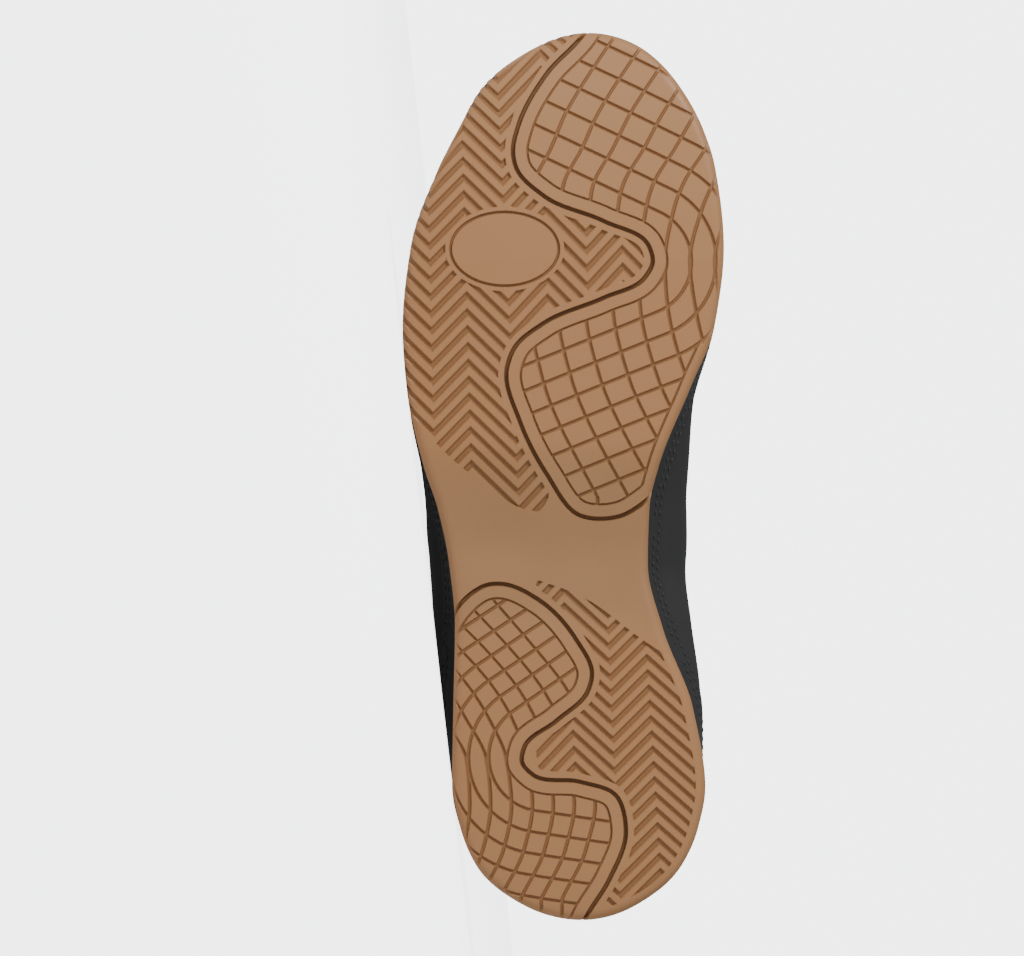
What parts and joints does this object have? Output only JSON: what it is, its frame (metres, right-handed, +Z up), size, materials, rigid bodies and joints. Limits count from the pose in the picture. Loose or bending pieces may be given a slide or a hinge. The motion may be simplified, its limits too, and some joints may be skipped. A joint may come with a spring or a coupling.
{
  "type": "indoor soccer shoe",
  "caption": "Low laced indoor soccer shoe for the right foot, lying on its outer side, with a grooved gum-rubber cup sole and a black upper.",
  "frame": {"origin": "bottom centre of the bounding box: the floor that the shoe lies on, under its middle", "axes": "+Z up from the floor; +X from the toe to the heel; the sole faces -Y, and the inner side of the foot is up"},
  "size_m": [0.2884, 0.1164, 0.1086],
  "materials": {
    "gum_rubber": "matt gum rubber",
    "black_leather": "smooth black coated leather",
    "black_mesh": "padded black mesh",
    "lace_cord": "flat woven black lace",
    "sock_foam": "brushed textile over foam"
  },
  "bodies": {
    "root": {"outsole": "gum_rubber", "insole": "sock_foam", "upper": "black_leather", "tongue": "black_mesh", "lace_bar": "lace_cord", "lace_crossing_1": "lace_cord", "lace_crossing_2": "lace_cord", "lace_crossing_3": "lace_cord", "lace_crossing_4": "lace_cord", "lace_crossing_5": "lace_cord"}
  },
  "joints": []
}
